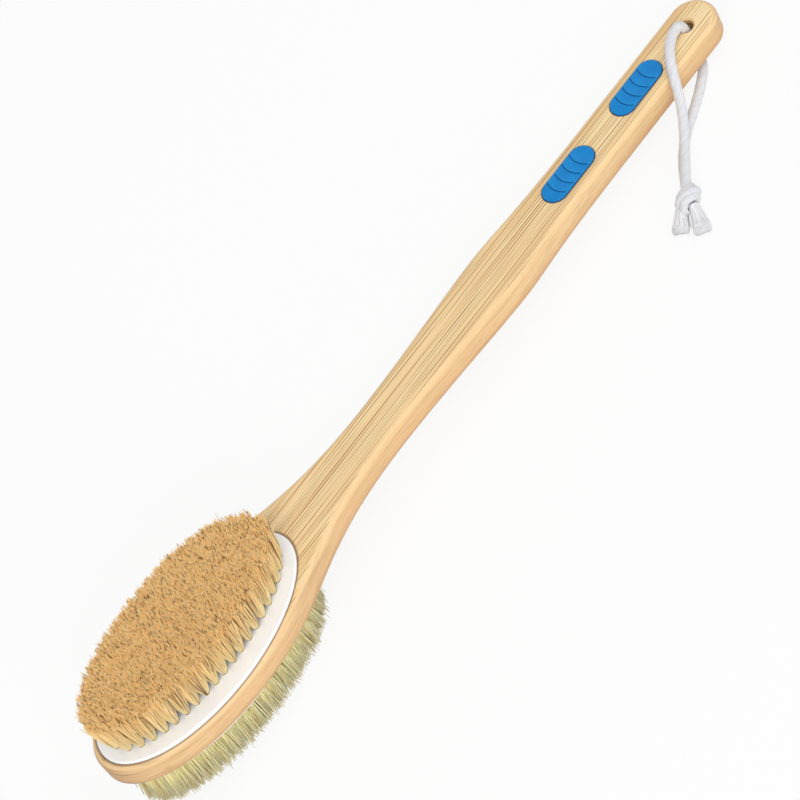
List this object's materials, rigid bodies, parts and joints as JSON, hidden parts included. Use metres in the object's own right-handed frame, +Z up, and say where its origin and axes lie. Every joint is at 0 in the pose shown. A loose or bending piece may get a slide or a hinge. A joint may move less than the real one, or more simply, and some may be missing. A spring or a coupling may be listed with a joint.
{
  "type": "body dry brush",
  "caption": "Long-handled bamboo body brush with natural bristles on both sides of an oval head, rubber grip inlays and a knotted cotton hanging loop.",
  "frame": {"origin": "on the table, under the centre of the brush's box without its cord", "axes": "+Z up from the table, +X along the brush from its head to its handle's end, front bristles up; the cord lies on the -Y side"},
  "size_m": [0.4296, 0.0902, 0.072],
  "materials": {
    "bamboo": "satin lacquered bamboo with fine strip grain",
    "plate_plastic": "glossy white moulded plastic",
    "natural_bristle": "tan natural bristle",
    "soft_bristle": "pale yellow-green soft bristle",
    "anchor_wire": "plain flat wire",
    "grip_rubber": "satin blue moulded rubber",
    "cotton_cord": "white braided cotton"
  },
  "bodies": {
    "brush": {"bamboo_body": "bamboo", "front_plate": "plate_plastic", "back_plate": "plate_plastic", "lower_grip": "grip_rubber", "upper_grip": "grip_rubber", "front_tufts_row_1": "natural_bristle", "front_tufts_row_2": "natural_bristle", "front_tufts_row_3": "natural_bristle", "front_tufts_row_4": "natural_bristle", "back_tufts_row_1": "soft_bristle", "back_tufts_row_2": "soft_bristle", "back_tufts_row_3": "soft_bristle", "back_tufts_row_4": "soft_bristle", "front_anchors_row_1": "anchor_wire", "front_anchors_row_2": "anchor_wire", "front_anchors_row_3": "anchor_wire", "front_anchors_row_4": "anchor_wire", "back_anchors_row_1": "anchor_wire", "back_anchors_row_2": "anchor_wire", "back_anchors_row_3": "anchor_wire", "back_anchors_row_4": "anchor_wire"},
    "hanging_cord": {"cord_front_leg": "cotton_cord", "cord_back_leg": "cotton_cord", "cord_knot": "cotton_cord", "cord_tail_a": "cotton_cord", "cord_tail_b": "cotton_cord"}
  },
  "joints": [
    {"name": "cord_swing", "type": "hinge", "parent": "brush", "child": "hanging_cord", "pos_m": [0.1981, 0, 0.014], "axis": [0, 0, 1], "range_deg": [0, 270]}
  ]
}
